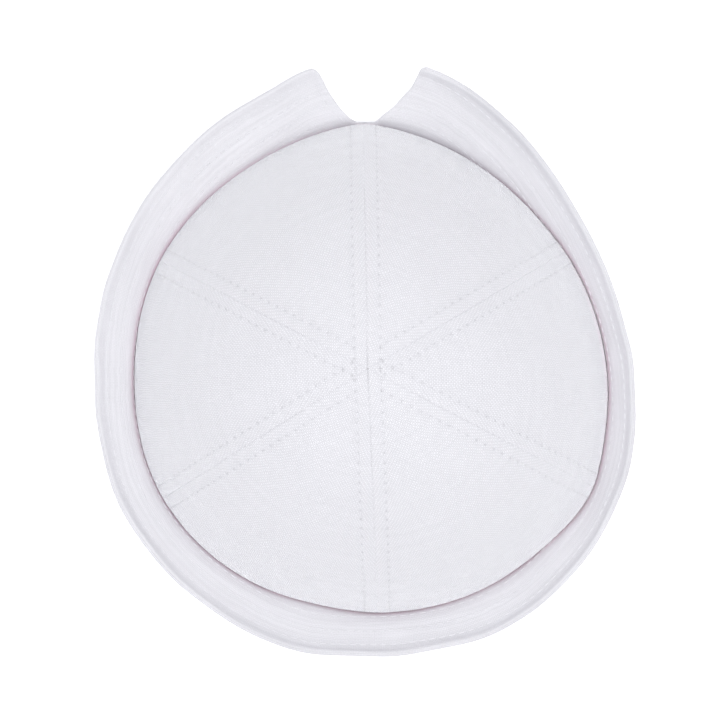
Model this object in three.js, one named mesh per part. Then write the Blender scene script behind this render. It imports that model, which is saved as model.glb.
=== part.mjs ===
// White cotton sailor hat, lying on its base fold with the brim turned up.
// The crown is six sewn panels, and the brim is one ring of stitched plies that opens in a V at the back.
// Millimetres, +Z up, +Y to the back, and +X to the right as seen from above with the back at the top.
import * as THREE from 'three';
import { mergeVertices } from 'three/addons/utils/BufferGeometryUtils.js';

// Driving dimensions
const CLOTH = 1.5; // wall of a crown panel and of the brim's sewn edge
const BRIM_CLOTH = 2.4; // wall of the turned-up brim, which has more plies
const PIECE_GAP = 0.3; // clear width between two pieces that are sewn together
const CROWN_HEIGHT = 115;
const CROWN_WIDEST_Z = 50; // level where the crown stands out furthest
const CROWN_EDGE_Z = 8; // lower edge of the panels, where they meet the brim
const CROWN_TUCK = 3; // how far the crown draws in from its widest level to its lower edge
const CROWN_FULLNESS = 1.45; // 2 gives an upright foot to the dome, and less makes it more like a cone
const SEAM_BAND = 6; // half width of the strip that a seam's allowances thicken
const SEAM_RAISE = 0.5; // how far that strip stands up along the seam
const SEAM_FADE_Z = [40, 64]; // the strip is flat below the first level and at full height above the second
const BRIM_HEIGHT = 62; // along the cloth, from the base fold to the top edge
const FLARE_END_REACH = 0.33; // share of the flare's length that keeps the lean of the top edge
const FOLD_GAP = 0.8; // between the two legs of the base fold
const FOLD_RISE = 3; // from the underside of the base fold to the bottom of that gap
const FOLD_ROUND = 1; // rounding at both sides of the fold's flat underside

// The vertical line through the top of the crown, where the six seams meet
const AXIS = new THREE.Vector2(0.9, -3.2);

// Sections round the hat, counter-clockwise from +X. crown is the crown's radius at its widest level, leaves
// the level where the brim leaves the crown's wall, crevice its clear width from the wall there, upright the
// share of the brim's flare that goes on upright from there, brim the outer radius of its top edge, and lean
// its angle from upright at that edge.
const SECTIONS = [
  { azimuth: 0, crown: 93.5, leaves: 49.5, crevice: 0.5, upright: 0.3, brim: 104.0, lean: 0 },
  { azimuth: 10, crown: 91.9, leaves: 50, crevice: 0.5, upright: 0.3, brim: 101.2, lean: 0 },
  { azimuth: 20, crown: 90.6, leaves: 50, crevice: 0.5, upright: 0.3, brim: 100.5, lean: 0 },
  { azimuth: 40, crown: 88.9, leaves: 45.5, crevice: 0.5, upright: 0.3, brim: 103.0, lean: 5 },
  { azimuth: 60, crown: 90.1, leaves: 38, crevice: 0.6, upright: 0.3, brim: 111.3, lean: 12 },
  { azimuth: 78, crown: 93.0, leaves: 32, crevice: 0.8, upright: 0.3, brim: 120.8, lean: 20 },
  { azimuth: 91, crown: 95.3, leaves: 34, crevice: 0.6, upright: 0.3, brim: 120.8, lean: 25 },
  { azimuth: 101, crown: 93.8, leaves: 35, crevice: 0.4, upright: 0.15, brim: 119.9, lean: 42 },
  { azimuth: 110, crown: 92.2, leaves: 38, crevice: 0.3, upright: 0.1, brim: 115.6, lean: 46 },
  { azimuth: 125, crown: 90.8, leaves: 40.5, crevice: 0.3, upright: 0.1, brim: 112.7, lean: 48 },
  { azimuth: 152, crown: 91.1, leaves: 44, crevice: 0.3, upright: 0.1, brim: 108.0, lean: 42 },
  { azimuth: 182, crown: 91.0, leaves: 45.5, crevice: 0.6, upright: 0.25, brim: 106.6, lean: 25 },
  { azimuth: 212, crown: 94.5, leaves: 44, crevice: 0.5, upright: 0.3, brim: 111.0, lean: 10 },
  { azimuth: 242, crown: 95.0, leaves: 42.5, crevice: 0.6, upright: 0.3, brim: 112.4, lean: 5 },
  { azimuth: 257, crown: 94.3, leaves: 40.5, crevice: 0.7, upright: 0.3, brim: 114.0, lean: 3 },
  { azimuth: 272, crown: 95.5, leaves: 43, crevice: 0.8, upright: 0.3, brim: 112.4, lean: 0 },
  { azimuth: 302, crown: 97.6, leaves: 42.5, crevice: 0.6, upright: 0.3, brim: 115.3, lean: 0 },
  { azimuth: 316, crown: 98.4, leaves: 45, crevice: 0.5, upright: 0.3, brim: 113.1, lean: 0 },
  { azimuth: 330, crown: 99.9, leaves: 48, crevice: 0.5, upright: 0.3, brim: 111.2, lean: 0 },
  { azimuth: 345, crown: 96.3, leaves: 48, crevice: 0.5, upright: 0.3, brim: 107.8, lean: 0 },
];

// Each panel runs counter-clockwise from its own seam to the seam of the next panel.
const PANELS = [
  { name: 'crown_panel_back_right', seam: 30.5 },
  { name: 'crown_panel_back_left', seam: 91 },
  { name: 'crown_panel_left', seam: 152.5 },
  { name: 'crown_panel_front_left', seam: 212.5 },
  { name: 'crown_panel_front_right', seam: 272.4 },
  { name: 'crown_panel_right', seam: 332.4 },
];

// Edges of the V at the back: their azimuths at each distance along the cloth from the base fold.
// The first row is the bottom of the V, and the last one rounds its two tips.
const NOTCH = [
  { slope: 34, right: 90.5, left: 90.5 },
  { slope: 35, right: 89.0, left: 92.0 },
  { slope: 37, right: 88.0, left: 92.5 },
  { slope: 40, right: 86.7, left: 94.1 },
  { slope: 44, right: 84.3, left: 95.8 },
  { slope: 48, right: 82.7, left: 97.0 },
  { slope: 52, right: 81.2, left: 98.0 },
  { slope: 57, right: 80.3, left: 98.8 },
  { slope: 60.5, right: 79.8, left: 99.6 },
  { slope: BRIM_HEIGHT, right: 78.9, left: 100.5 },
];

// Steps of the faceted walls
const PANEL_COLUMNS = [0, 0.06, 0.15, 0.27, 0.385, 0.5, 0.615, 0.73, 0.85, 0.94, 1]; // closer at the seams
const EDGE_STEPS = 4;
const DOME_STEPS = 12;
const BRIM_COLUMNS = 76;
const BRIM_SLOPES = [8, 16, 25, NOTCH[0].slope, 35, 37, 40, 43, 46, 49, 52, 55, 58];
const SLOPE_STEP = 0.5; // to both sides of a point, for the direction of the cloth there
const BRIM_ROUND_ANGLES = [0, 45, 80].map(THREE.MathUtils.degToRad);

const COTTON = { color: 0xebebf1, roughness: 0.92, metalness: 0 };

const { clamp, degToRad, euclideanModulo, lerp, smoothstep } = THREE.MathUtils;

// Value of a cubic that passes low and high with the given slopes over one span, at a share of it.
function hermite(low, slopeLow, high, slopeHigh, share) {
  const square = share * share;
  const cube = square * share;
  const fromLow = (2 * cube - 3 * square + 1) * low + (cube - 2 * square + share) * slopeLow;
  return fromLow + (3 * square - 2 * cube) * high + (cube - square) * slopeHigh;
}

// Smooth closed curve through one column of the sections, at any azimuth.
function around(column, azimuth) {
  const count = SECTIONS.length;
  const turn = euclideanModulo(azimuth, 360);
  const higher = SECTIONS.findIndex((section) => section.azimuth > turn);
  const next = higher < 0 ? count : higher;
  const [before, low, high, after] = [next - 2, next - 1, next, next + 1].map((index) => {
    const section = SECTIONS[euclideanModulo(index, count)];
    return { at: section.azimuth + 360 * Math.floor(index / count), value: section[column] };
  });
  const span = high.at - low.at;
  const slopeLow = span * (high.value - before.value) / (high.at - before.at);
  const slopeHigh = span * (after.value - low.value) / (after.at - low.at);
  return hermite(low.value, slopeLow, high.value, slopeHigh, (turn - low.at) / span);
}

// Azimuth of one edge of the V at a distance along the cloth.
function notchEdge(side, slope) {
  const next = NOTCH.findIndex((row) => row.slope > slope);
  if (next === 0) {
    return NOTCH[0][side];
  }
  if (next < 0) {
    return NOTCH.at(-1)[side];
  }
  const low = NOTCH[next - 1];
  const high = NOTCH[next];
  return lerp(low[side], high[side], (slope - low.slope) / (high.slope - low.slope));
}

// Point of the hat from its distance to the axis, its azimuth and its height.
function placed(radius, azimuth, z) {
  const angle = degToRad(azimuth);
  return new THREE.Vector3(AXIS.x + radius * Math.cos(angle), AXIS.y + radius * Math.sin(angle), z);
}

// Closed solid between two faces that have the same rows of points. The first closedRows rows go all
// the way round, so their ends meet, and the solid needs an end wall only above them.
function shellGeometry(front, back, closedRows = 0) {
  const rows = front.length;
  const columns = front[0].length;
  const last = columns - 1;
  const corners = [...front, ...back].flat().flatMap((point) => point.toArray());
  const triangles = [];
  const frontAt = (row, column) => row * columns + column;
  const backAt = (row, column) => (rows + row) * columns + column;
  const quad = (a, b, c, d) => triangles.push([a, b, c], [a, c, d]);
  for (let i = 0; i < rows - 1; i++) {
    for (let j = 0; j < last; j++) {
      quad(frontAt(i, j), frontAt(i, j + 1), frontAt(i + 1, j + 1), frontAt(i + 1, j));
      quad(backAt(i, j), backAt(i + 1, j), backAt(i + 1, j + 1), backAt(i, j + 1));
    }
    if (i + 1 >= closedRows) {
      quad(frontAt(i, 0), frontAt(i + 1, 0), backAt(i + 1, 0), backAt(i, 0));
      quad(frontAt(i, last), backAt(i, last), backAt(i + 1, last), frontAt(i + 1, last));
    }
  }
  for (let j = 0; j < last; j++) {
    quad(frontAt(0, j), backAt(0, j), backAt(0, j + 1), frontAt(0, j + 1));
    quad(frontAt(rows - 1, j), frontAt(rows - 1, j + 1), backAt(rows - 1, j + 1), backAt(rows - 1, j));
  }
  const loose = new THREE.BufferGeometry();
  loose.setAttribute('position', new THREE.Float32BufferAttribute(corners, 3));
  loose.setIndex(triangles.flat());
  return withoutSlivers(mergeVertices(loose));
}

// The same geometry without the triangles that merging has closed to a line.
function withoutSlivers(geometry) {
  const index = geometry.index.array;
  const kept = [];
  for (let i = 0; i < index.length; i += 3) {
    const [a, b, c] = index.slice(i, i + 3);
    if (a !== b && b !== c && c !== a) {
      kept.push(a, b, c);
    }
  }
  geometry.setIndex(kept);
  geometry.computeVertexNormals();
  return geometry;
}

// Outline of the crown from its lower edge to its top: a share of the widest radius, less a tuck, and z.
function crownProfile() {
  const rows = [];
  for (let i = 0; i < EDGE_STEPS; i++) {
    const below = 1 - i / EDGE_STEPS;
    rows.push({ share: 1, tuck: CROWN_TUCK * below ** 2, z: lerp(CROWN_WIDEST_Z, CROWN_EDGE_Z, below) });
  }
  for (let i = 0; i <= DOME_STEPS; i++) {
    const angle = (Math.PI / 2) * (i / DOME_STEPS);
    const share = i < DOME_STEPS ? Math.cos(angle) : 0;
    const rise = Math.sin(angle) ** (2 / CROWN_FULLNESS);
    rows.push({ share, tuck: 0, z: lerp(CROWN_WIDEST_Z, CROWN_HEIGHT, rise) });
  }
  return rows;
}

// Height that the nearest seam's allowances add at a point of the crown.
function seamRaise(azimuth, radius, z) {
  const turns = PANELS.map(({ seam }) => Math.abs(euclideanModulo(azimuth - seam + 180, 360) - 180));
  const distance = radius * Math.sin(degToRad(Math.min(...turns)));
  return SEAM_RAISE * (1 - smoothstep(distance, 0, SEAM_BAND)) * smoothstep(z, ...SEAM_FADE_Z);
}

// Point of the crown at a row of its profile and an azimuth, and at a depth below the cloth's outer face.
function crownPoint(profile, row, azimuth, depth, tipRadius) {
  const widest = around('crown', azimuth);
  const [low, here, high] = [row - 1, row, row + 1].map((index) => {
    const { share, tuck, z } = profile[clamp(index, 0, profile.length - 1)];
    return new THREE.Vector2(share * widest - tuck, z);
  });
  if (here.x < tipRadius) {
    here.x = tipRadius;
    return placed(here.x, azimuth, here.y + seamRaise(azimuth, here.x, here.y) - depth);
  }
  const along = high.sub(low).normalize();
  const outward = new THREE.Vector2(along.y, -along.x);
  here.addScaledVector(outward, seamRaise(azimuth, here.x, here.y) - depth);
  return placed(here.x, azimuth, here.y);
}

// One panel of the crown, between two seams, with its tip at the top of the crown.
function panelGeometry(startSeam, endSeam) {
  const profile = crownProfile();
  const halfGap = PIECE_GAP / 2;
  const middle = (startSeam + endSeam) / 2;
  const tipRadius = halfGap / Math.sin(degToRad(endSeam - middle));
  const face = (depth) => profile.map(({ share, tuck }, row) => PANEL_COLUMNS.map((column) => {
    const radius = Math.max(share * around('crown', middle) - tuck, tipRadius);
    const inset = THREE.MathUtils.radToDeg(Math.asin(halfGap / radius));
    const azimuth = lerp(startSeam + inset, endSeam - inset, column);
    return crownPoint(profile, row, azimuth, depth, tipRadius);
  }));
  return shellGeometry(face(0), face(CLOTH));
}

// Inner face of the brim where it stands close to the crown's wall, at a level, in radius and z.
function besideCrown(azimuth, z) {
  const below = clamp((CROWN_WIDEST_Z - z) / (CROWN_WIDEST_Z - CROWN_EDGE_Z), 0, 1);
  const wall = around('crown', azimuth) - CROWN_TUCK * below ** 2;
  const share = (z - FOLD_RISE) / (around('leaves', azimuth) - FOLD_RISE);
  return new THREE.Vector2(wall + lerp(FOLD_GAP, around('crevice', azimuth), share), z);
}

// Leaning part of the brim at one azimuth, as a curve of its inner face in radius and z.
function flareCurve(azimuth) {
  const leaves = around('leaves', azimuth);
  const start = besideCrown(azimuth, leaves);
  const lean = degToRad(around('lean', azimuth));
  const edgeReach = (BRIM_CLOTH / 2) * (1 + Math.cos(lean) - Math.sin(lean));
  const topRadius = around('brim', azimuth) - edgeReach;
  const length = BRIM_HEIGHT - leaves;
  const top = new THREE.Vector2(topRadius, leaves + Math.sqrt(length ** 2 - (topRadius - start.x) ** 2));
  const upright = new THREE.Vector2(0, around('upright', azimuth) * length);
  const leaning = new THREE.Vector2(Math.sin(lean), Math.cos(lean)).multiplyScalar(FLARE_END_REACH * length);
  return new THREE.CubicBezierCurve(start, start.clone().add(upright), top.clone().sub(leaning), top);
}

// Point of the brim's inner face and direction up the cloth, at a distance along it from the base fold.
function brimInner(azimuth, flare, slope) {
  const leaves = around('leaves', azimuth);
  if (slope > leaves) {
    const share = (slope - leaves) / (BRIM_HEIGHT - leaves);
    return { inner: flare.getPointAt(share), along: flare.getTangentAt(share) };
  }
  const below = besideCrown(azimuth, slope - SLOPE_STEP);
  const above = besideCrown(azimuth, slope + SLOPE_STEP);
  return { inner: besideCrown(azimuth, slope), along: above.sub(below).normalize() };
}

// Section of the brim at one azimuth: from its sewn edge down, round the base fold and up to the top edge.
// Each station has its distance along the turned-up cloth and a point on both faces, in radius and z.
function brimSection(azimuth) {
  const sewn = around('crown', azimuth) - CROWN_TUCK;
  const head = sewn - CLOTH;
  const gap = sewn + FOLD_GAP;
  const outside = gap + BRIM_CLOTH;
  const sewnZ = CROWN_EDGE_Z - PIECE_GAP;
  const gapSide = FOLD_GAP / 4;
  const gapZ = FOLD_RISE + FOLD_GAP / 2;
  const at = (radius, z) => new THREE.Vector2(radius, z);
  const stations = [
    { slope: 0, front: at(head, sewnZ), back: at(sewn, sewnZ) },
    { slope: 0, front: at(head, FOLD_ROUND), back: at(sewn, gapZ) },
    { slope: 0, front: at(head + FOLD_ROUND, 0), back: at(sewn + gapSide, FOLD_RISE) },
    { slope: 0, front: at(outside - FOLD_ROUND, 0), back: at(gap - gapSide, FOLD_RISE) },
    { slope: FOLD_RISE, front: at(outside, FOLD_ROUND), back: at(gap, gapZ) },
  ];
  const flare = flareCurve(azimuth);
  const addStation = (slope, inset) => {
    const { inner, along } = brimInner(azimuth, flare, slope);
    const outward = at(along.y, -along.x);
    const front = inner.clone().addScaledVector(outward, BRIM_CLOTH - inset);
    const back = inner.clone().addScaledVector(outward, inset);
    stations.push({ slope, front, back });
  };
  for (const slope of BRIM_SLOPES) {
    addStation(slope, 0);
  }
  const round = BRIM_CLOTH / 2;
  for (const angle of BRIM_ROUND_ANGLES) {
    addStation(BRIM_HEIGHT - round + round * Math.sin(angle), round - round * Math.cos(angle));
  }
  return stations;
}

// The brim: a ring at the base fold, and above the bottom of the V an open band.
function brimGeometry() {
  const slopes = brimSection(0).map(({ slope }) => slope);
  const front = slopes.map(() => []);
  const back = slopes.map(() => []);
  slopes.forEach((slope, row) => {
    const start = notchEdge('left', slope);
    const end = notchEdge('right', slope) + 360;
    for (let j = 0; j <= BRIM_COLUMNS; j++) {
      const azimuth = lerp(start, end, j / BRIM_COLUMNS);
      const { front: outer, back: inner } = brimSection(azimuth)[row];
      front[row].push(placed(outer.x, azimuth, outer.y));
      back[row].push(placed(inner.x, azimuth, inner.y));
    }
    if (end - start === 360) {
      front[row][BRIM_COLUMNS] = front[row][0];
      back[row][BRIM_COLUMNS] = back[row][0];
    }
  });
  const closedRows = slopes.filter((slope) => slope <= NOTCH[0].slope).length;
  return shellGeometry(front, back, closedRows);
}

function namedMesh(name, geometry) {
  const mesh = new THREE.Mesh(geometry, new THREE.MeshStandardMaterial(COTTON));
  mesh.name = name;
  return mesh;
}

const hat = new THREE.Group();
PANELS.forEach(({ name, seam }, index) => {
  const next = index + 1 < PANELS.length ? PANELS[index + 1].seam : PANELS[0].seam + 360;
  hat.add(namedMesh(name, panelGeometry(seam, next)));
});
hat.add(namedMesh('brim', brimGeometry()));

export default hat;
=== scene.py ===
import bmesh
import bpy
import numpy as np
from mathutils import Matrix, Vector


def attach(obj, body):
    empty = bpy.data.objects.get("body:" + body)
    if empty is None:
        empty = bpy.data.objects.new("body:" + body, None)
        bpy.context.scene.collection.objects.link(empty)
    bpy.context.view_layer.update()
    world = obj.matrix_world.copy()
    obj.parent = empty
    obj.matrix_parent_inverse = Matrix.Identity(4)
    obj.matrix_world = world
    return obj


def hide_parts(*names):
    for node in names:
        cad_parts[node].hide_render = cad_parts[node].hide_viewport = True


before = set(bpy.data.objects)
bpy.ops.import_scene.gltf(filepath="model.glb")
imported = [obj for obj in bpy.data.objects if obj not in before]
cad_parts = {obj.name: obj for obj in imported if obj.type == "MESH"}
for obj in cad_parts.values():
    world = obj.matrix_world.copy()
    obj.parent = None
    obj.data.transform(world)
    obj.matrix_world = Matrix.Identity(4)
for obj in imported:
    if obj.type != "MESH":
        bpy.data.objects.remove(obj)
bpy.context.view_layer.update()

MM = 0.001


def table(columns, *rows):
    """Rows of numbers with named columns."""
    return np.array(list(rows), dtype=[(name, float) for name in columns.split()])


# Driving dimensions, the same as in the solids
CLOTH = 1.5  # wall of a crown panel and of the brim's sewn edge
BRIM_CLOTH = 2.4  # wall of the turned-up brim, which has more plies
PIECE_GAP = 0.3  # between the crown's lower edge and the brim's sewn edge
CROWN_HEIGHT = 115
CROWN_WIDEST_Z = 50  # level where the crown stands out furthest
CROWN_EDGE_Z = 8  # lower edge of the panels, where they meet the brim
CROWN_TUCK = 3  # how far the crown draws in from its widest level to its lower edge
CROWN_FULLNESS = 1.45  # 2 gives an upright foot to the dome, and less makes it more like a cone
BRIM_HEIGHT = 62  # along the cloth, from the base fold to the top edge
FLARE_END_REACH = 0.33  # share of the flare's length that keeps the lean of the top edge
FOLD_GAP = 0.8  # between the two legs of the base fold
FOLD_RISE = 3  # from the underside of the base fold to the bottom of that gap
AXIS = (0.9, -3.2)  # the vertical line through the top of the crown, where the six seams meet

# Sections round the hat, counter-clockwise from +X. crown is the crown's radius at its widest level, leaves
# the level where the brim leaves the crown's wall, crevice its clear width from the wall there, upright the
# share of the brim's flare that goes on upright from there, brim the outer radius of its top edge, and lean
# its angle from upright at that edge.
SECTIONS = table(
    "azimuth crown leaves crevice upright brim lean",
    (0, 93.5, 49.5, 0.5, 0.3, 104.0, 0),
    (10, 91.9, 50, 0.5, 0.3, 101.2, 0),
    (20, 90.6, 50, 0.5, 0.3, 100.5, 0),
    (40, 88.9, 45.5, 0.5, 0.3, 103.0, 5),
    (60, 90.1, 38, 0.6, 0.3, 111.3, 12),
    (78, 93.0, 32, 0.8, 0.3, 120.8, 20),
    (91, 95.3, 34, 0.6, 0.3, 120.8, 25),
    (101, 93.8, 35, 0.4, 0.15, 119.9, 42),
    (110, 92.2, 38, 0.3, 0.1, 115.6, 46),
    (125, 90.8, 40.5, 0.3, 0.1, 112.7, 48),
    (152, 91.1, 44, 0.3, 0.1, 108.0, 42),
    (182, 91.0, 45.5, 0.6, 0.25, 106.6, 25),
    (212, 94.5, 44, 0.5, 0.3, 111.0, 10),
    (242, 95.0, 42.5, 0.6, 0.3, 112.4, 5),
    (257, 94.3, 40.5, 0.7, 0.3, 114.0, 3),
    (272, 95.5, 43, 0.8, 0.3, 112.4, 0),
    (302, 97.6, 42.5, 0.6, 0.3, 115.3, 0),
    (316, 98.4, 45, 0.5, 0.3, 113.1, 0),
    (330, 99.9, 48, 0.5, 0.3, 111.2, 0),
    (345, 96.3, 48, 0.5, 0.3, 107.8, 0),
)

# Each panel runs counter-clockwise from its own seam to the seam of the next panel.
PANELS = {
    "crown_panel_back_right": 30.5,
    "crown_panel_back_left": 91,
    "crown_panel_left": 152.5,
    "crown_panel_front_left": 212.5,
    "crown_panel_front_right": 272.4,
    "crown_panel_right": 332.4,
}
# The two seams that are sewn last, in one line
LONG_SEAMS = (PANELS["crown_panel_back_left"], PANELS["crown_panel_front_right"])

# Edges of the V at the back: their azimuths at each distance along the cloth from the base fold.
NOTCH = table(
    "slope right left",
    (34, 90.5, 90.5),
    (35, 89.0, 92.0),
    (37, 88.0, 92.5),
    (40, 86.7, 94.1),
    (44, 84.3, 95.8),
    (48, 82.7, 97.0),
    (52, 81.2, 98.0),
    (57, 80.3, 98.8),
    (60.5, 79.8, 99.6),
    (BRIM_HEIGHT, 78.9, 100.5),
)
NOTCH_AZIMUTH = NOTCH["right"][0]
NOTCH_BOTTOM = NOTCH["slope"][0]
NOTCH_RADII = (97, 118)  # rough radius of the brim at the bottom and at the top of the V
NOTCH_REACH = 20  # degrees to both sides of the V in which its edges can be the nearest
NOTCH_STEPS = 120  # points along an edge of the V, to measure distances from it

# Seams of the crown
RELIEF_FADE_Z = (44, 60)  # the sewn cloth is smooth below the first level and uneven above the second
SEAM_CLEAR = 0.006  # half of the gap between two panels
SEAM_RAISE = 0.4  # how far the allowances under a seam lift the cloth
SEAM_FLAT = 4.9  # half width of the lifted strip
SEAM_BAND = 6.7  # half width where the cloth is level again
SEAM_DIP = 0.2  # depth of the groove where the two folded edges meet
SEAM_DIP_WIDTH = 0.4
APEX_DIP = 0.35  # hollow where all six seams meet
APEX_DIP_WIDTH = 1.3
CENTRE_DIP = 0.15  # extra depth of the long seam close to the axis
CENTRE_DIP_WIDTH = 0.28
CENTRE_DIP_LENGTH = 9
CENTRE_SHADE = 0.6  # painted shade of that line, as a share of a stitch hole's

# Stitching
PITCH = 3.95  # from one stitch hole to the next
STITCH_ASIDE = 4.9  # from a crown seam to the row on each side of it
GROOVE_DEPTH = 0.24  # of the line that a row of stitches presses into the cloth
GROOVE_WIDTH = 0.5
HOLE_DEPTH = 0.3  # extra depth of the groove at a stitch hole
HOLE_WIDTH = 0.4
HOLE_POWER = 16  # a higher power makes the holes shorter along their row
HOLE_SHADE = 0.84  # painted shade inside a stitch hole: how light the cloth is painted there
PUCKER = 0.06  # height of the small waves that the stitches pull into the cloth
PUCKER_WIDTH = 2.6
PUCKER_STITCHES = 2  # length of a small wave, in stitches
PUCKER_START = 0.7  # its phase at the axis
SLOW_PUCKER = 0.6  # height of a second, longer wave, as a share of the first
SLOW_PUCKER_STITCHES = 3.3
THREAD_SHARES = np.array([0.13, 0.25, 0.5, 0.75, 0.87])  # rings of a stitch, from hole to hole
THREAD_RISES = np.array([-0.2, 0.0, 0.06, 0.0, -0.2])  # height of each ring above the cloth
THREAD_RADII = np.array([0.1, 0.17, 0.19, 0.17, 0.1])
THREAD_SIDES = 6

# Rows of stitching along the brim, from the base fold up
BRIM_ROW_FIRST = 5.5
BRIM_ROW_STEP = 5.8
BRIM_ROWS = 10
FIRST_ROW_SHOWN_INSIDE = 6  # the lower rows lie against the crown
ROW_SAMPLES = 720  # points along a row, to measure its length
NOTCH_ROW_ASIDE = 3.4  # from the edge of the V to the row beside it
NOTCH_ROW_START = 4  # from the bottom of the V up to the first hole of that row
BRIM_PUFF = 0.05  # how far the plies swell between two rows
BRIM_PUFF_WIDTH = 1.3
BRIM_PUCKER = 0.03  # height of the small waves along the rows
BRIM_PUCKER_STITCHES = 3  # their length, in stitches
BRIM_PUCKER_SQUEEZE = 3  # how many times shorter they are up the cloth
BRIM_PUCKER_SHIFT = 7  # how far the rows are set apart in them, so that each row has its own
SWELL_FROM_EDGE = (0.1, 1.6)  # the swelling and the waves begin between these distances from an edge
HEM_HEIGHT = 4.6  # folded hem along the top edge
HEM_RAISE = 0.03  # how far it stands out from the inner face
HEM_STEP = 1.4  # height of the slope from the face to the hem
RIM_ROUND = BRIM_CLOTH / 2  # radius of the rounded edges
RIM_GROOVE = 0.35  # depth of the line between the two plies, along the top edge
RIM_GROOVE_WIDTH = 0.03  # as a distance below the top edge
LEAST_LEAN = 10  # the soft top edge leans out at least this far, also where the solid is upright

# Colours
CROWN_WHITE = (0.858, 0.851, 0.882)
BRIM_WHITE = (0.755, 0.749, 0.775)
THREAD_WHITE = (0.8, 0.795, 0.82)
CREVICE_SHADE_TINT = (1.09, 0.91, 0.965)  # painted warm shade, where crown and brim shade each other
CROWN_CREVICE_FADE = 8  # height over which that ends on the crown
BRIM_CREVICE_FADE = 3  # and on the brim

# Unevenness of the soft cloth
CROWN_WAVE = 0.16  # height of its soft waves
CROWN_WAVE_LENGTH = 34
BRIM_WAVE = 0.28
BRIM_WAVE_LENGTH = 30
BRIM_WAVE_SQUEEZE = 0.6  # below 1 the waves are longer up the cloth than round it
WAVE_COUNT = 14  # waves that are added up
WAVE_SPREAD = (0.7, 1.6)  # the shortest and the longest of them, as shares of the length asked for


# Curves through the tables


def smoothstep(value, low, high):
    share = np.clip((value - low) / (high - low), 0, 1)
    return share * share * (3 - 2 * share)


def hump(distance, width):
    """1 at no distance, falling off to both sides over the given width."""
    return np.exp(-((distance / width) ** 2))


def through(at, values, where):
    """Smooth curve through points: a cubic between each two, with slopes from neighbour to neighbour."""
    index = np.arange(len(at))
    before = np.maximum(index - 1, 0)
    after = np.minimum(index + 1, len(at) - 1)
    slopes = (values[after] - values[before]) / (at[after] - at[before])
    low = np.clip(np.searchsorted(at, where, side="right") - 1, 0, len(at) - 2)
    span = at[low + 1] - at[low]
    share = np.clip((where - at[low]) / span, 0, 1)
    square = share**2
    cube = share**3
    from_low = (2 * cube - 3 * square + 1) * values[low] + (cube - 2 * square + share) * span * slopes[low]
    return from_low + (3 * square - 2 * cube) * values[low + 1] + (cube - square) * span * slopes[low + 1]


def around(column, azimuth):
    """Value of one column of the sections at any azimuth, on a smooth closed curve."""
    at = SECTIONS["azimuth"]
    values = SECTIONS[column]
    at = np.concatenate([at[-2:] - 360, at, at[:2] + 360])
    values = np.concatenate([values[-2:], values, values[:2]])
    return through(at, values, np.mod(azimuth, 360))


def placed(radius, azimuth, z):
    """Points of the hat from their distance to the axis, their azimuth and their height."""
    angle = np.radians(azimuth)
    return np.stack([AXIS[0] + radius * np.cos(angle), AXIS[1] + radius * np.sin(angle), z], -1)


def waves(points, length, seed):
    """Soft seeded unevenness of about 1 either way, with features of about the given length."""
    draw = np.random.default_rng(seed)
    directions = draw.normal(size=(WAVE_COUNT, 3))
    directions /= np.linalg.norm(directions, axis=1, keepdims=True)
    numbers = 2 * np.pi / (length * draw.uniform(*WAVE_SPREAD, WAVE_COUNT))
    phases = draw.uniform(0, 2 * np.pi, WAVE_COUNT)
    total = sum(np.sin(points @ d * n + p) for d, n, p in zip(directions, numbers, phases))
    return total / np.sqrt(WAVE_COUNT / 2)


# Meshes

SHARP_ANGLE = np.radians(75)  # an edge between faces that turn more than this keeps its corner
WELD = 0.0001  # points closer than this are one point


def quads(a, b, c, d):
    return np.stack([a, b, c, d], -1).reshape(-1, 4)


def mesh_object(name, points, faces, uv=None, marks=None):
    """Smooth object from points in millimetres and four-sided faces, with points at one place welded."""
    mesh = bpy.data.meshes.new(name)
    mesh.from_pydata((points * MM).tolist(), [], faces.tolist())
    if uv is not None:
        corners = uv[faces.reshape(-1)].astype(np.float32)
        mesh.uv_layers.new(name="cloth").uv.foreach_set("vector", corners.reshape(-1))
    for mark, values in (marks or {}).items():
        mesh.attributes.new(mark, "FLOAT", "POINT").data.foreach_set("value", values.astype(np.float32))
    work = bmesh.new()
    work.from_mesh(mesh)
    bmesh.ops.remove_doubles(work, verts=work.verts, dist=WELD * MM)
    for face in work.faces:
        face.smooth = True
    for edge in work.edges:
        edge.smooth = edge.calc_face_angle(0) < SHARP_ANGLE
    work.to_mesh(mesh)
    work.free()
    piece = bpy.data.objects.new(name, mesh)
    bpy.context.scene.collection.objects.link(piece)
    return piece


def shell(name, front, back, uv, marks, closed_rows=0):
    """Closed piece of cloth between two faces with the same grid of points.

    The first closed_rows rows go all the way round, so the piece has end walls only above them. Each
    of the marks is a pair of values from 0 to 1 over the two faces, for the cloth's colour.
    """
    rows, columns = front.shape[:2]
    ids = np.arange(rows * columns).reshape(rows, columns)
    far = ids + rows * columns
    wall = slice(max(closed_rows - 1, 0), None)
    near_end, far_end = ids[wall], far[wall]
    faces = [
        quads(ids[:-1, :-1], ids[:-1, 1:], ids[1:, 1:], ids[1:, :-1]),
        quads(far[:-1, :-1], far[1:, :-1], far[1:, 1:], far[:-1, 1:]),
        quads(ids[0, :-1], far[0, :-1], far[0, 1:], ids[0, 1:]),
        quads(ids[-1, :-1], ids[-1, 1:], far[-1, 1:], far[-1, :-1]),
        quads(near_end[:-1, 0], near_end[1:, 0], far_end[1:, 0], far_end[:-1, 0]),
        quads(near_end[:-1, -1], far_end[:-1, -1], far_end[1:, -1], near_end[1:, -1]),
    ]
    points = np.concatenate([front.reshape(-1, 3), back.reshape(-1, 3)])
    both_uv = np.concatenate([uv.reshape(-1, 2)] * 2)
    both_marks = {mark: np.stack(pair).reshape(-1) for mark, pair in marks.items()}
    return mesh_object(name, points, np.concatenate(faces), both_uv, both_marks)


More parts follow.
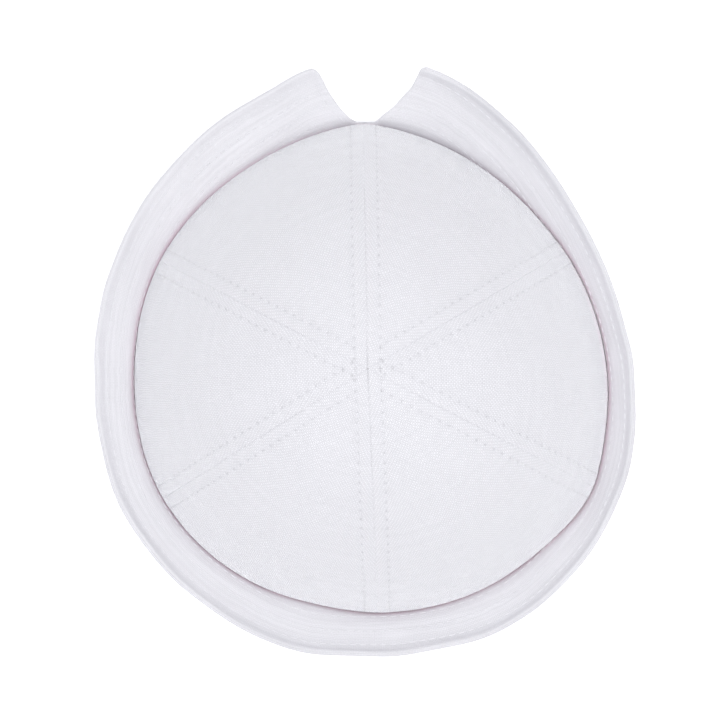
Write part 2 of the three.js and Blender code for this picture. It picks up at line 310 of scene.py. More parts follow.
def stitches(name, rows, surface):
    """All stitches of several rows as one piece: short threads that dip into the cloth at each hole.

    A row is the two surface coordinates of its holes, and surface gives a point at a height over the cloth.
    """
    starts = [np.concatenate([row[axis][:-1] for row in rows])[:, None] for axis in (0, 1)]
    ends = [np.concatenate([row[axis][1:] for row in rows])[:, None] for axis in (0, 1)]
    places = [start + (end - start) * THREAD_SHARES for start, end in zip(starts, ends)]
    lines = surface(*places, THREAD_RISES)
    outward = surface(*places, THREAD_RISES + 1) - lines
    ahead = np.gradient(lines, axis=1)
    aside = np.cross(ahead, outward)
    aside /= np.linalg.norm(aside, axis=-1, keepdims=True)
    up = np.cross(aside, ahead)
    up /= np.linalg.norm(up, axis=-1, keepdims=True)
    turns = 2 * np.pi * np.arange(THREAD_SIDES) / THREAD_SIDES
    ring = np.cos(turns)[:, None] * aside[:, :, None] + np.sin(turns)[:, None] * up[:, :, None]
    points = lines[:, :, None] + THREAD_RADII[:, None, None] * ring
    ids = np.arange(points.size // 3).reshape(points.shape[:3])
    beside = np.roll(ids, -1, axis=2)
    first, last = ids[:, 0], ids[:, -1]
    faces = [quads(ids[:, :-1], ids[:, 1:], beside[:, 1:], beside[:, :-1])]
    for k in range(1, THREAD_SIDES - 2, 2):
        faces.append(quads(first[:, 0], first[:, k], first[:, k + 1], first[:, k + 2]))
        faces.append(quads(last[:, 0], last[:, k + 2], last[:, k + 1], last[:, k]))
    return mesh_object(name, points.reshape(-1, 3), np.concatenate(faces))


# Crown

WALL_STEPS = 80  # points of the outline below the widest level
DOME_STEPS = 900  # and above it
CROWN_NUDGE = 0.4  # up and down the cloth from a point, for its slope there
ROW_BENDS_FROM = 20  # up to this distance from the axis, stitches are counted along a line beside the seam
ROW_BENDS_TO = 60  # and from this one, up the cloth


def crown_profile():
    """Outline of the crown by distance up the cloth: share of its widest radius, tuck, and height."""
    below = np.linspace(1, 0, WALL_STEPS, endpoint=False)
    angle = np.linspace(0, np.pi / 2, DOME_STEPS)
    share = np.concatenate([np.ones_like(below), np.cos(angle)])
    tuck = np.concatenate([CROWN_TUCK * below**2, np.zeros_like(angle)])
    wall_z = CROWN_WIDEST_Z - (CROWN_WIDEST_Z - CROWN_EDGE_Z) * below
    dome_z = CROWN_WIDEST_Z + (CROWN_HEIGHT - CROWN_WIDEST_Z) * np.sin(angle) ** (2 / CROWN_FULLNESS)
    z = np.concatenate([wall_z, dome_z])
    radius = share * SECTIONS["crown"].mean() - tuck
    steps = np.hypot(np.diff(radius), np.diff(z))
    return np.concatenate([[0], np.cumsum(steps)]), share, tuck, z


PROFILE_ALONG, PROFILE_SHARE, PROFILE_TUCK, PROFILE_Z = crown_profile()
CROWN_LENGTH = PROFILE_ALONG[-1]


def crown_outline(azimuth, along):
    """Radius and height of the crown at distances up the cloth from its lower edge."""
    share = np.interp(along, PROFILE_ALONG, PROFILE_SHARE)
    tuck = np.interp(along, PROFILE_ALONG, PROFILE_TUCK)
    return share * around("crown", azimuth) - tuck, np.interp(along, PROFILE_ALONG, PROFILE_Z)


def along_at(radius, azimuth):
    """Distance up the cloth at which the dome has a radius."""
    share = radius / around("crown", azimuth)
    return np.interp(share, PROFILE_SHARE[::-1], PROFILE_ALONG[::-1])


def crown_points(azimuth, along, lift):
    """Points at a height over the crown's smooth outer face."""
    radius, z = crown_outline(azimuth, along)
    low_radius, low_z = crown_outline(azimuth, along - CROWN_NUDGE)
    high_radius, high_z = crown_outline(azimuth, along + CROWN_NUDGE)
    run = high_radius - low_radius
    rise = high_z - low_z
    length = np.hypot(run, rise)
    return placed(radius + lift * rise / length, azimuth, z - lift * run / length)


def row_bend(radius):
    """Part of a row's distance from its seam that is added to its stitches' distance from the axis."""
    return STITCH_ASIDE * (1 - smoothstep(radius, ROW_BENDS_FROM, ROW_BENDS_TO))


def crevice_shade(azimuth, level, fade):
    """1 down in the crevice between crown and brim, and 0 above it, for the painted warm shade there."""
    leaves = around("leaves", azimuth)
    return 1 - smoothstep(level, leaves, leaves + fade)


def from_long_seam(azimuth, radius):
    """Distance to the line of the long seam over the crown."""
    middle = (LONG_SEAMS[0] + LONG_SEAMS[1] - 180) / 2
    return np.abs(radius * np.sin(np.radians(azimuth - middle)))


def crown_relief(azimuth, along):
    """Height of the sewn cloth over the smooth crown, and where painted shade darkens the stitch holes and
    the long seam's line near the axis.
    """
    radius, z = crown_outline(azimuth, along)
    bent = np.sqrt(np.maximum(radius**2 - row_bend(radius) ** 2, 0))
    run = CROWN_LENGTH - np.where(radius < ROW_BENDS_TO, along_at(bent, azimuth), along)
    hole = np.cos(np.pi * run / PITCH) ** HOLE_POWER
    pucker = np.cos(2 * np.pi * run / (PUCKER_STITCHES * PITCH) + PUCKER_START)
    pucker += SLOW_PUCKER * np.cos(2 * np.pi * run / (SLOW_PUCKER_STITCHES * PITCH))
    nearest = np.full_like(radius, np.inf)
    holes_and_painted_shade = np.zeros_like(radius)
    relief = CROWN_WAVE * waves(placed(radius, azimuth, z), CROWN_WAVE_LENGTH, seed=5)
    for seam in PANELS.values():
        turn = np.radians(azimuth - seam)
        ahead = radius * np.cos(turn)
        aside = np.abs(radius * np.sin(turn))
        nearest = np.minimum(nearest, np.where(ahead > 0, aside, radius))
        sewn = ahead > 0
        if seam not in LONG_SEAMS:
            sewn &= from_long_seam(azimuth, radius) > STITCH_ASIDE
        off = aside - STITCH_ASIDE
        holes_and_painted_shade += sewn * hole * hump(off, HOLE_WIDTH)
        relief -= sewn * GROOVE_DEPTH * hump(off, GROOVE_WIDTH)
        relief += sewn * PUCKER * hump(off, PUCKER_WIDTH) * pucker
    relief += SEAM_RAISE * (1 - smoothstep(nearest, SEAM_FLAT, SEAM_BAND)) - HOLE_DEPTH * holes_and_painted_shade
    relief -= SEAM_DIP * hump(nearest, SEAM_DIP_WIDTH)
    relief -= APEX_DIP * hump(radius, APEX_DIP_WIDTH)
    centre = hump(from_long_seam(azimuth, radius), CENTRE_DIP_WIDTH) * hump(radius, CENTRE_DIP_LENGTH)
    relief -= CENTRE_DIP * centre
    # the second value is painted shade, at the stitch holes and along the long seam near the axis
    return relief * smoothstep(z, *RELIEF_FADE_Z), np.maximum(holes_and_painted_shade, CENTRE_SHADE * centre)


PANEL_ROW_STEP = PITCH / 5  # so that a row of points meets every stitch hole
PANEL_ROW_FIRST = 0.3  # least distance from the lower edge to the first row above it
PANEL_TIP = 0.3  # the panels' tips end this far from the axis
SEAM_COLUMNS = np.array(
    [SEAM_CLEAR, 0.25, 0.5, 0.8, 1.2, 1.8, 2.6, 3.4, 3.9, 4.3, 4.6, 4.9, 5.2, 5.5, 5.9, 6.4, 7.0, 7.8, 9.0]
)  # distances from a seam
SEAM_ROOM = 14  # where a panel is narrower than twice this, its columns draw together
MIDDLE_COLUMNS = 13  # from there to the middle of the panel


def crown_panel(name, start, end):
    """One panel between its two seams, with its tip at the top of the crown."""
    along = np.append(0, np.arange(CROWN_LENGTH, PANEL_ROW_FIRST, -PANEL_ROW_STEP)[::-1])
    middle = (start + end) / 2
    along[-1] = along_at(PANEL_TIP, middle)
    along = along[:, None]
    radius, _ = crown_outline(middle, along)
    half = (end - start) / 2
    room = radius * np.sin(np.radians(half))
    aside = SEAM_COLUMNS * np.minimum(1, room / SEAM_ROOM)
    aside[:, 0] = np.minimum(SEAM_CLEAR, room[:, 0] / 2)
    near = np.degrees(np.arcsin(aside / radius))
    share = np.linspace(0, 1, MIDDLE_COLUMNS + 1)[1:]
    inner = near[:, -1:] + (half - near[:, -1:]) * share
    turn = np.concatenate([near, inner], axis=1)
    azimuth = np.concatenate([start + turn, end - turn[:, -2::-1]], axis=1)
    along = np.broadcast_to(along, azimuth.shape)
    lift, holes_and_painted_shade = crown_relief(azimuth, along)
    front = crown_points(azimuth, along, lift)
    back = crown_points(azimuth, along, lift - CLOTH)
    uv = np.stack([radius * np.radians(azimuth - middle), along], -1)
    none = np.zeros_like(azimuth)
    _, z = crown_outline(azimuth, along)
    # painted warm shade on the crown's outer face, down in the crevice
    painted_warm_shade = crevice_shade(azimuth, z, CROWN_CREVICE_FADE)
    return shell(name, front, back, uv, {"holes_and_painted_shade": (holes_and_painted_shade, none), "crevice_shade": (painted_warm_shade, none)})


def crown_row(seam, side):
    """Holes of the stitch row on one side of a seam: their azimuths and distances up the cloth."""
    run = np.arange(0, CROWN_LENGTH - 2 * PITCH, PITCH)
    ahead, _ = crown_outline(seam, CROWN_LENGTH - run)
    azimuth = seam + side * np.degrees(np.arctan2(STITCH_ASIDE, ahead))
    radius = np.hypot(ahead, row_bend(ahead))
    along = np.where(radius < ROW_BENDS_TO, along_at(radius, azimuth), CROWN_LENGTH - run)
    if seam in LONG_SEAMS:
        return azimuth, along
    clear = from_long_seam(azimuth, radius) > STITCH_ASIDE + PITCH / 3
    return azimuth[clear], along[clear]


def crown_surface(azimuth, along, rise):
    """Points at a height over the crown's sewn cloth."""
    lift, _ = crown_relief(azimuth, along)
    return crown_points(azimuth, along, lift + rise)


def crown_stitching():
    rows = [crown_row(seam, side) for seam in PANELS.values() for side in (-1, 1)]
    return stitches("crown_stitching", rows, crown_surface)


# Brim

CURVE_STEPS = 32  # pieces of a curve, to measure its length
CURVE_NUDGE = 1e-3  # to both sides of a point, for the direction of a curve there
BRIM_NUDGE = 0.5  # the same up and down the cloth, in millimetres


def notch_edge(side, slope):
    return through(NOTCH["slope"], NOTCH[side], slope)


def crown_wall(azimuth, z):
    """Radius of the crown below its widest level, and of the brim's sewn edge under it."""
    below = np.clip((CROWN_WIDEST_Z - z) / (CROWN_WIDEST_Z - CROWN_EDGE_Z), 0, 1)
    return around("crown", azimuth) - CROWN_TUCK * below**2


def flare_curve(azimuth):
    """Inner face of the brim's leaning part as the four control points of a curve, in radius and z."""
    leaves = around("leaves", azimuth)
    start = crown_wall(azimuth, leaves) + around("crevice", azimuth)
    lean = np.radians(np.maximum(around("lean", azimuth), LEAST_LEAN))
    top = around("brim", azimuth) - BRIM_CLOTH / 2 * (1 + np.cos(lean) - np.sin(lean))
    length = BRIM_HEIGHT - leaves
    top_z = leaves + np.sqrt(length**2 - (top - start) ** 2)
    reach = FLARE_END_REACH * length
    radii = [start, start, top - reach * np.sin(lean), top]
    heights = [leaves, leaves + around("upright", azimuth) * length, top_z - reach * np.cos(lean), top_z]
    return np.stack([np.stack(radii, -1), np.stack(heights, -1)], -1)


def curve_point(controls, t):
    """Points of curves with four control points, each at its own row of t."""
    weights = np.stack([(1 - t) ** 3, 3 * t * (1 - t) ** 2, 3 * t**2 * (1 - t), t**3], -1)
    return np.einsum("nsk,nkd->nsd", weights, controls)


def on_curve(controls, share):
    """Places and directions on curves with four control points, at shares of their length."""
    grid = np.linspace(0, 1, CURVE_STEPS + 1)
    places = curve_point(controls, np.broadcast_to(grid, (len(controls), len(grid))))
    steps = np.linalg.norm(np.diff(places, axis=1), axis=-1)
    reached = np.cumsum(steps, axis=1)
    target = share * reached[:, -1]
    cell = np.minimum((reached < target[:, None]).sum(1), CURVE_STEPS - 1)
    row = np.arange(len(cell))
    t = (cell + 1 - (reached[row, cell] - target) / steps[row, cell]) / CURVE_STEPS
    around_t = np.stack([t, np.maximum(t - CURVE_NUDGE, 0), np.minimum(t + CURVE_NUDGE, 1)], -1)
    here, before, after = np.moveaxis(curve_point(controls, around_t), 1, 0)
    ahead = after - before
    return here, ahead / np.linalg.norm(ahead, axis=-1, keepdims=True)


def brim_along_crown(azimuth, slope):
    """Inner face of the brim where it stands close to the crown's wall, in radius and z."""
    share = (slope - FOLD_RISE) / (around("leaves", azimuth) - FOLD_RISE)
    clear = FOLD_GAP + (around("crevice", azimuth) - FOLD_GAP) * share
    return np.stack([crown_wall(azimuth, slope) + clear, slope], -1)


def brim_inner(azimuth, slope):
    """Place and outward direction of the turned-up brim's inner face, in radius and z."""
    azimuth, slope = [np.ravel(values).astype(float) for values in np.broadcast_arrays(azimuth, slope)]
    leaves = around("leaves", azimuth)
    share = np.clip((slope - leaves) / (BRIM_HEIGHT - leaves), 0, 1)
    place, ahead = on_curve(flare_curve(azimuth), share)
    low = (slope < leaves)[:, None]
    rise = brim_along_crown(azimuth, slope + BRIM_NUDGE) - brim_along_crown(azimuth, slope - BRIM_NUDGE)
    place = np.where(low, brim_along_crown(azimuth, slope), place)
    ahead = np.where(low, rise / np.linalg.norm(rise, axis=-1, keepdims=True), ahead)
    return place, np.stack([ahead[:, 1], -ahead[:, 0]], -1)


def brim_radius(slope):
    """Rough radius of the brim at the V, for distances round it."""
    return np.interp(slope, [NOTCH_BOTTOM, BRIM_HEIGHT], NOTCH_RADII)


def edge_distance(azimuth, slope):
    """Distance along the cloth to the brim's nearest edge, which is the top edge or an edge of the V."""
    distance = BRIM_HEIGHT - slope
    turn = np.mod(azimuth - NOTCH_AZIMUTH + 180, 360) - 180
    close = np.abs(turn) < NOTCH_REACH
    here = np.stack([np.radians(turn[close]) * brim_radius(slope[close]), slope[close]], -1)
    levels = np.linspace(NOTCH_BOTTOM, BRIM_HEIGHT, NOTCH_STEPS)
    nearest = np.full(len(here), np.inf)
    for side in ("right", "left"):
        reach = np.radians(notch_edge(side, levels) - NOTCH_AZIMUTH) * brim_radius(levels)
        edge = np.stack([reach, levels], -1)
        for low, high in zip(edge[:-1], edge[1:]):
            step = high - low
            share = np.clip((here - low) @ step / (step @ step), 0, 1)
            nearest = np.minimum(nearest, np.linalg.norm(here - low - share[:, None] * step, axis=-1))
    distance[close] = np.minimum(distance[close], nearest)
    return distance


def brim_relief(azimuth, slope, outside):
    """Swelling of a face between the stitched rows, with its small waves and the hem inside."""
    phase = (slope - BRIM_ROW_FIRST) / BRIM_ROW_STEP
    row = np.clip(np.round(phase), 0, BRIM_ROWS - 1)
    off = (phase - row) * BRIM_ROW_STEP
    along = np.radians(azimuth) * SECTIONS["brim"].mean()
    place = np.stack([along, BRIM_PUCKER_SQUEEZE * slope, BRIM_PUCKER_SHIFT * row], -1)
    pucker = waves(place, BRIM_PUCKER_STITCHES * PITCH, seed=21 if outside else 22)
    swell = 1 - hump(off, BRIM_PUFF_WIDTH)
    hem = HEM_RAISE * smoothstep(slope, BRIM_HEIGHT - HEM_HEIGHT - HEM_STEP, BRIM_HEIGHT - HEM_HEIGHT)
    return BRIM_PUFF * (swell - 0.5) + BRIM_PUCKER * pucker + (0 if outside else hem)


def brim_shift(azimuth, slope):
    """How far the whole wall strays from its smooth place."""
    angle = np.radians(azimuth)
    radius = SECTIONS["brim"].mean()
    place = np.stack([radius * np.cos(angle), radius * np.sin(angle), BRIM_WAVE_SQUEEZE * slope], -1)
    free = smoothstep(slope, around("leaves", azimuth), BRIM_HEIGHT)
    return BRIM_WAVE * waves(place, BRIM_WAVE_LENGTH, seed=11) * free


def brim_points(azimuth, slope, outside, rise):
    """Points at a height over the brim's outer or inner face, rounded off towards its edges."""
    azimuth, slope, rise = np.broadcast_arrays(azimuth, slope, rise)
    shape = azimuth.shape
    azimuth, slope, rise = [np.ravel(values).astype(float) for values in (azimuth, slope, rise)]
    place, outward = brim_inner(azimuth, slope)
    distance = edge_distance(azimuth, slope)
    from_round = np.clip(RIM_ROUND - distance, 0, RIM_ROUND)
    inset = RIM_ROUND - np.sqrt(RIM_ROUND**2 - from_round**2)
    relief = brim_relief(azimuth, slope, outside) * smoothstep(distance, *SWELL_FROM_EDGE) + rise
    depth = BRIM_CLOTH - inset + relief if outside else inset - relief
    ahead = np.stack([-outward[:, 1], outward[:, 0]], -1)
    groove = RIM_GROOVE * hump(BRIM_HEIGHT - slope, RIM_GROOVE_WIDTH)
    place = place + (depth + brim_shift(azimuth, slope))[:, None] * outward - groove[:, None] * ahead
    return placed(place[:, 0], azimuth, place[:, 1]).reshape(*shape, 3)


BRIM_COLUMNS = 440  # of points round the brim, besides those beside the V
NOTCH_COLUMNS = np.array([0, 0.06, 0.22, 0.5, 0.85, 1.25, 1.8, 2.6, 3.4, 4.2, 5.2])  # distances from the V
NOTCH_ROWS = np.array([0, 0.3, 0.8])  # distances above the bottom of the V
TOP_ROWS = np.array([1.7, 1.2, 0.8, 0.45, 0.2, 0.05, 0.015, 0])  # distances from the top edge
ROW_OFFSETS = np.array([-0.9, -0.4, 0, 0.4, 0.9, 1.9, 2.9, 3.9])  # distances from a row of stitching
ROW_CLEAR = 0.3  # least distance from these rows of points to those at the top edge
FOLD_STEPS = 7  # points round each corner of the base fold
FOLD_CORNER = 2.0  # radius of the base fold's outer corners, softer than in the solids


def brim_slopes():
    """Distances from the base fold at which the turned-up wall has its rows of points."""
    rows = BRIM_ROW_FIRST + BRIM_ROW_STEP * np.arange(BRIM_ROWS)
    slopes = (rows[:, None] + ROW_OFFSETS).ravel()
    slopes = slopes[slopes < BRIM_HEIGHT - TOP_ROWS[0] - ROW_CLEAR]
    slopes = [NOTCH_BOTTOM + NOTCH_ROWS, slopes, BRIM_HEIGHT - TOP_ROWS]
    return np.unique(np.concatenate(slopes).round(3))


def round_the_rim(slope):
    """Distance up the cloth that follows the rounded top edge."""
    from_round = np.clip(slope - BRIM_HEIGHT + RIM_ROUND, 0, RIM_ROUND)
    return np.minimum(slope, BRIM_HEIGHT - RIM_ROUND) + RIM_ROUND * np.arcsin(from_round / RIM_ROUND)


def fold_section(azimuth):
    """Base fold from the sewn edge down and round to the turned-up wall: both faces, in radius and z."""
    sewn = around("crown", azimuth) - CROWN_TUCK
    head = sewn - CLOTH
    outside = sewn + FOLD_GAP + BRIM_CLOTH
    sewn_z = CROWN_EDGE_Z - PIECE_GAP
    middle_z = (sewn_z + FOLD_RISE) / 2
    slot = FOLD_GAP / 2
    rows = [(head, z, sewn, z) for z in (sewn_z, middle_z)]
    for turn in np.linspace(0, np.pi, 2 * FOLD_STEPS):
        middle = head + FOLD_CORNER if turn < np.pi / 2 else outside - FOLD_CORNER
        front = middle - FOLD_CORNER * np.cos(turn)
        front_z = FOLD_CORNER - FOLD_CORNER * np.sin(turn)
        back = sewn + slot - slot * np.cos(turn)
        rows.append((front, front_z, back, FOLD_RISE + slot - slot * np.sin(turn)))
    return rows


def brim():
    """The brim: a ring at the base fold, and above the bottom of the V an open band."""
    round_length = 2 * np.pi * SECTIONS["brim"].mean()
    near = NOTCH_COLUMNS / round_length
    between = np.linspace(near[-1], 1 - near[-1], BRIM_COLUMNS)
    share = np.concatenate([near[:-1], between, 1 - near[-2::-1]])
    ring = NOTCH_AZIMUTH + 360 * share
    fold = fold_section(ring)
    fold_front = [placed(front, ring, np.full_like(ring, z)) for front, z, _, _ in fold]
    fold_back = [placed(back, ring, np.full_like(ring, z)) for _, _, back, z in fold]
    slopes = brim_slopes()
    start = notch_edge("left", slopes)[:, None]
    end = notch_edge("right", slopes)[:, None] + 360
    azimuth = start + (end - start) * share
    slope = np.broadcast_to(slopes[:, None], azimuth.shape)
    front = np.concatenate([fold_front, brim_points(azimuth, slope, True, 0)])
    back = np.concatenate([fold_back, brim_points(azimuth, slope, False, 0)])
    fold_levels = np.linspace(-2 * CROWN_EDGE_Z, 0, len(fold))  # rough lengths, for weave and painted warm shade
    levels = np.concatenate([fold_levels, slopes])
    turns = np.concatenate([np.broadcast_to(ring, (len(fold), len(ring))), azimuth])
    lengths = np.broadcast_to(round_the_rim(levels)[:, None], turns.shape)
    uv = np.stack([np.radians(turns) * SECTIONS["brim"].mean(), lengths], -1)
    closed = len(fold) + int((slopes <= NOTCH_BOTTOM).sum())
    for face in (front, back):
        face[:closed, -1] = face[:closed, 0]
    none = np.zeros_like(turns)
    # painted warm shade on the brim's inner face, down in the crevice
    painted_warm_shade = crevice_shade(turns, levels[:, None], BRIM_CREVICE_FADE)
    return shell("brim_cloth", front, back, uv, {"crevice_shade": (none, painted_warm_shade)}, closed)


def brim_row(slope):
    """Holes of one row of stitching along the brim: their azimuths and distances from the base fold."""
    aside = np.degrees(NOTCH_ROW_ASIDE / brim_radius(slope)) if slope > NOTCH_BOTTOM else 0
    start = notch_edge("left", slope) + aside
    end = notch_edge("right", slope) + 360 - aside
    azimuth = np.linspace(start, end, ROW_SAMPLES)
    line = brim_points(azimuth, slope, True, 0)
    reached = np.concatenate([[0], np.cumsum(np.linalg.norm(np.diff(line, axis=0), axis=-1))])
    holes = np.linspace(0, reached[-1], round(reached[-1] / PITCH) + 1)
    return np.interp(holes, reached, azimuth), np.full_like(holes, slope)


def notch_row(side):
    """Holes of the row beside one edge of the V."""
    slope = np.arange(NOTCH_BOTTOM + NOTCH_ROW_START, BRIM_HEIGHT - NOTCH_ROW_ASIDE, PITCH)
    aside = np.degrees(NOTCH_ROW_ASIDE / brim_radius(slope))
    azimuth = notch_edge(side, slope) + (aside if side == "left" else -aside)
    return azimuth, slope


def brim_stitching(outside):
    first = 0 if outside else FIRST_ROW_SHOWN_INSIDE
    rows = [brim_row(BRIM_ROW_FIRST + BRIM_ROW_STEP * row) for row in range(first, BRIM_ROWS)]
    rows += [notch_row(side) for side in ("left", "right")]
    name = "brim_stitching_outside" if outside else "brim_stitching_inside"
    return stitches(name, rows, lambda a, b, rise: brim_points(a, b, outside, rise))


# Materials

SHEEN_ROUGHNESS = 0.26
SHEEN_TINT = (1.7, 1.7, 1.75, 1)
STRAY = (1.4, 1.4, 0)  # how far the yarns stray from straight lines, in millimetres
STRAY_SCALE = 0.25  # this and the scales below are features for each millimetre
YARN_ROUND = 0.75  # power of the bulge across a yarn
YARN_ARCH = 0.4  # power of the bulge along it, from one crossing to the next
SLUB_ACROSS = 1.6  # scales of the thicker and thinner stretches in the yarns
SLUB_ALONG = 0.06
SLUB_SHADES = (0.96, 1.04)
SLUB_HEIGHT = 0.35  # as a share of the weave's depth
PATCH_SCALE = 0.05  # broad spots that are a little lighter or darker
PATCH_SHADES = (0.99, 1.01)
STREAK_SCALE = (0.025, 0.8, 0)
TWIST_SCALE = 2200.0  # of the thread, for each metre
TWIST_SHADES = (0.94, 1.04)
TWIST_DEPTH = 0.06


class Nodes:
    """A new material with a cloth shader, and a short way to add its nodes."""

    def __init__(self, name, roughness, sheen):
        self.material = bpy.data.materials.new(name)
        self.material.use_nodes = True
        self.tree = self.material.node_tree
        self.shader = self.tree.nodes["Principled BSDF"]
        self.shader.inputs["Roughness"].default_value = roughness
        self.shader.inputs["Sheen Weight"].default_value = sheen
        self.shader.inputs["Sheen Roughness"].default_value = SHEEN_ROUGHNESS
        self.shader.inputs["Sheen Tint"].default_value = SHEEN_TINT

    def set(self, socket, value):
        """Gives an input a value, or a link from another node."""
        if isinstance(value, bpy.types.NodeSocket):
            self.tree.links.new(value, socket)
        else:
            socket.default_value = value

    def add(self, kind, output, inputs, **settings):
        """A new node with its inputs and settings: one of its outputs."""
        node = self.tree.nodes.new(kind)
        for key, value in settings.items():
            setattr(node, key, value)
        for key, value in inputs.items():
            self.set(node.inputs[key], value)
        return node.outputs[output]

    def math(self, operation, *values):
        return self.add("ShaderNodeMath", 0, dict(enumerate(values)), operation=operation)

    def noise(self, vector, scale, detail=2.0):
        inputs = {"Vector": vector, "Scale": scale, "Detail": detail}
        return self.add("ShaderNodeTexNoise", "Fac", inputs)

    def vector_math(self, operation, *vectors):
        return self.add("ShaderNodeVectorMath", 0, dict(enumerate(vectors)), operation=operation)

    def bulge(self, across, along):
        """Height of the yarns that run one way, from the swings across and along them."""
        powers = [self.math("POWER", across, YARN_ROUND), self.math("POWER", along, YARN_ARCH)]
        return self.math("MULTIPLY", *powers)

    def between(self, share, low, high):
        """low to high as share goes from 0 to 1."""
        inputs = {"Value": share, "To Min": low, "To Max": high}
        return self.add("ShaderNodeMapRange", 0, inputs, clamp=True)

    def colour(self, shade, tint):
        """A tint made lighter or darker by a shade."""
        inputs = {0: tint, "Scale": shade}
        return self.add("ShaderNodeVectorMath", 0, inputs, operation="SCALE")

    def bump(self, height, distance):
        return self.add("ShaderNodeBump", 0, {"Height": height, "Distance": distance})


def cotton(name, tint, yarn, depth, hollow, weft_shade, streak):
    """Plain weave of cotton yarns with a pitch in millimetres, along and across the cloth.

    The two values after depth are painted shade: how light the gaps between the yarns are, and the same for
    the yarns across the cloth. streak is how much the yarns along the cloth differ from each other.
    """
    nodes = Nodes(name, roughness=0.6, sheen=1.0)
    place = nodes.add("ShaderNodeUVMap", 0, {}, uv_map="cloth")
    stray = nodes.add("ShaderNodeTexNoise", "Color", {"Vector": place, "Scale": STRAY_SCALE})
    stray = nodes.vector_math("SUBTRACT", stray, (0.5, 0.5, 0.5))
    place = nodes.vector_math("MULTIPLY_ADD", stray, STRAY, place)
    axes = nodes.tree.nodes.new("ShaderNodeSeparateXYZ")
    nodes.set(axes.inputs[0], place)
    turns = [nodes.math("MULTIPLY", axes.outputs[axis], np.pi / yarn) for axis in (0, 1)]
    swings = [nodes.math("SINE", turn) for turn in turns]
    across, along = [nodes.math("ABSOLUTE", swing) for swing in swings]
    warp = nodes.bulge(across, along)
    weft = nodes.bulge(along, across)
    over = nodes.math("GREATER_THAN", nodes.math("MULTIPLY", *swings), 0.0)
    height = nodes.add("ShaderNodeMix", 0, {0: over, 2: weft, 3: warp})
    slub_scales = ((SLUB_ACROSS, SLUB_ALONG, 0), (SLUB_ALONG, SLUB_ACROSS, 0))
    slubs = [nodes.noise(nodes.vector_math("MULTIPLY", place, scale), 1.0) for scale in slub_scales]
    slub = nodes.math("ADD", *slubs)
    patch = nodes.noise(place, PATCH_SCALE)
    # painted shade in the gaps between the yarns, times random slubs
    shade = nodes.math("MULTIPLY", nodes.between(height, hollow, 1.0), nodes.between(slub, *SLUB_SHADES))
    shade = nodes.math("MULTIPLY", shade, nodes.between(patch, *PATCH_SHADES))
    # painted shade in the stitch holes and along the long seam near the axis
    holes_and_painted_shade = nodes.add("ShaderNodeAttribute", "Fac", {}, attribute_name="holes_and_painted_shade")
    shade = nodes.math("MULTIPLY", shade, nodes.between(holes_and_painted_shade, 1.0, HOLE_SHADE))
    # painted shade on the yarns across the cloth
    shade = nodes.math("MULTIPLY", shade, nodes.between(over, weft_shade, 1.0))
    streaks = nodes.noise(nodes.vector_math("MULTIPLY", place, STREAK_SCALE), 1.0, detail=3.0)
    shade = nodes.math("MULTIPLY", shade, nodes.between(streaks, 1 - streak, 1 + streak))
    # painted warm shade down in the crevice between crown and brim
    in_crevice = nodes.add("ShaderNodeAttribute", "Fac", {}, attribute_name="crevice_shade")
    painted_warm_shade = [part * change for part, change in zip(tint, CREVICE_SHADE_TINT)]
    inputs = {0: in_crevice, 6: (*tint, 1), 7: (*painted_warm_shade, 1)}
    tint = nodes.add("ShaderNodeMix", 2, inputs, data_type="RGBA")
    nodes.set(nodes.shader.inputs["Base Color"], nodes.colour(shade, tint))
    relief = nodes.math("ADD", height, nodes.math("MULTIPLY", slub, SLUB_HEIGHT))
    nodes.set(nodes.shader.inputs["Normal"], nodes.bump(relief, depth * MM))
    return nodes.material


def thread(name, tint):
    """Twisted sewing thread."""
    nodes = Nodes(name, roughness=0.75, sheen=0.1)
    place = nodes.add("ShaderNodeTexCoord", "Object", {})
    twist = nodes.noise(place, TWIST_SCALE)
    shade = nodes.between(twist, *TWIST_SHADES)
    nodes.set(nodes.shader.inputs["Base Color"], nodes.colour(shade, tint))
    nodes.set(nodes.shader.inputs["Normal"], nodes.bump(twist, TWIST_DEPTH * MM))
    return nodes.material


# Scene

FLOOR_HALF = 4000  # half of the floor's width
FLOOR_Z = -0.05  # a little under the base fold
FLOOR_WHITE = (0.9, 0.9, 0.9, 1)
FLOOR_ROUGHNESS = 0.95
FLOOR_GLOW = 0.4  # its own light, so that it looks white
FLOOR_CORNERS = np.array([(-1, -1, 0), (1, -1, 0), (1, 1, 0), (-1, 1, 0)])


def stage_floor():
    points = FLOOR_CORNERS * FLOOR_HALF + (0, 0, FLOOR_Z)
    floor = mesh_object("floor", points, np.array([[0, 1, 2, 3]]))
    paper = bpy.data.materials.new("floor_paper")
    paper.use_nodes = True
    shader = paper.node_tree.nodes["Principled BSDF"]
    shader.inputs["Base Color"].default_value = FLOOR_WHITE
    shader.inputs["Roughness"].default_value = FLOOR_ROUGHNESS
    shader.inputs["Emission Color"].default_value = (1, 1, 1, 1)
    shader.inputs["Emission Strength"].default_value = FLOOR_GLOW
    floor.data.materials.append(paper)


TENT_LEFT = 0.6  # strength of the tent's light from the left
TENT_RIGHT = 0.57
TENT_TINT = (0.97, 0.98, 1.03, 1)
KEY_PLACE = (0.07, -0.09, 1.6)  # in metres, as Blender has its lamps
KEY_SIZE = 0.9
KEY_POWER = 15.5


def key_lamp():
    light = bpy.data.lights.new("key", "AREA")
    light.shape = "DISK"
    light.size = KEY_SIZE
    light.energy = KEY_POWER
    lamp = bpy.data.objects.new("key", light)
    lamp.location = KEY_PLACE
    lamp.rotation_euler = (-Vector(KEY_PLACE)).to_track_quat("-Z", "Y").to_euler()
    bpy.context.scene.collection.objects.link(lamp)


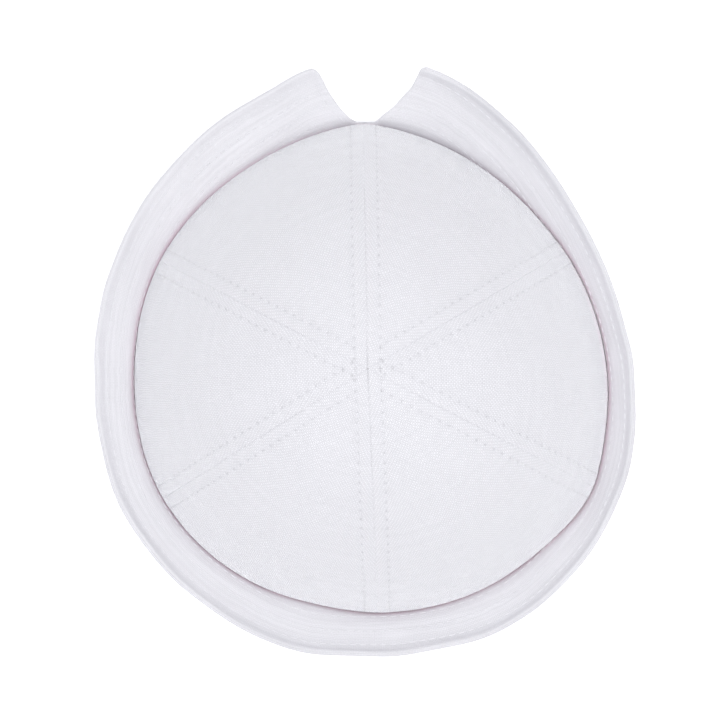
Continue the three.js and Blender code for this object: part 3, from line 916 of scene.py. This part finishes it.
def tent():
    """Soft white light from all round, a little lighter from the left."""
    scene = bpy.context.scene
    scene.view_settings.view_transform = "Standard"
    scene.world = bpy.data.worlds.new("tent")
    scene.world.use_nodes = True
    tree = scene.world.node_tree
    direction = tree.nodes.new("ShaderNodeSeparateXYZ")
    level = tree.nodes.new("ShaderNodeMapRange")
    level.inputs["From Min"].default_value = -1
    level.inputs["To Min"].default_value = TENT_LEFT
    level.inputs["To Max"].default_value = TENT_RIGHT
    background = tree.nodes["Background"]
    background.inputs["Color"].default_value = TENT_TINT
    tree.links.new(tree.nodes.new("ShaderNodeTexCoord").outputs["Generated"], direction.inputs[0])
    tree.links.new(direction.outputs["X"], level.inputs["Value"])
    tree.links.new(level.outputs[0], background.inputs["Strength"])


CAMERA_PLACE = (-1.9, 0.0, 1250)
CAMERA_LENS = 153.5  # on a sensor 36 mm wide


def camera():
    lens = bpy.data.cameras.new("camera")
    lens.lens = CAMERA_LENS
    eye = bpy.data.objects.new("camera", lens)
    eye.location = Vector(CAMERA_PLACE) * MM
    bpy.context.scene.collection.objects.link(eye)
    bpy.context.scene.camera = eye


def finish_piece(piece, material, slot, *nodes):
    """Gives a piece its material and its body, and hides the solids that it stands for; slot is not used.
    """
    piece.data.materials.append(material)
    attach(piece, "root")
    if nodes:
        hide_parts(*nodes)


camera()
tent()
key_lamp()
stage_floor()

# hollow and weft_shade are painted shade on the weave
crown_weave = {"yarn": 0.66, "depth": 0.13, "hollow": 0.82, "weft_shade": 0.9, "streak": 0.04}
brim_weave = {"yarn": 0.66, "depth": 0.06, "hollow": 0.93, "weft_shade": 0.97, "streak": 0.12}
crown_cotton = cotton("crown_cotton", CROWN_WHITE, **crown_weave)
brim_cotton = cotton("brim_cotton", BRIM_WHITE, **brim_weave)
white_thread = thread("white_thread", THREAD_WHITE)

seams = list(PANELS.values())
for (panel, seam), following in zip(PANELS.items(), seams[1:] + [seams[0] + 360]):
    finish_piece(crown_panel(panel + "_cloth", seam, following), crown_cotton, "crown_cloth", panel)
finish_piece(crown_stitching(), white_thread, "crown_cloth")
finish_piece(brim(), brim_cotton, "brim_cloth", "brim")
for outside in (True, False):
    finish_piece(brim_stitching(outside), white_thread, "brim_cloth")
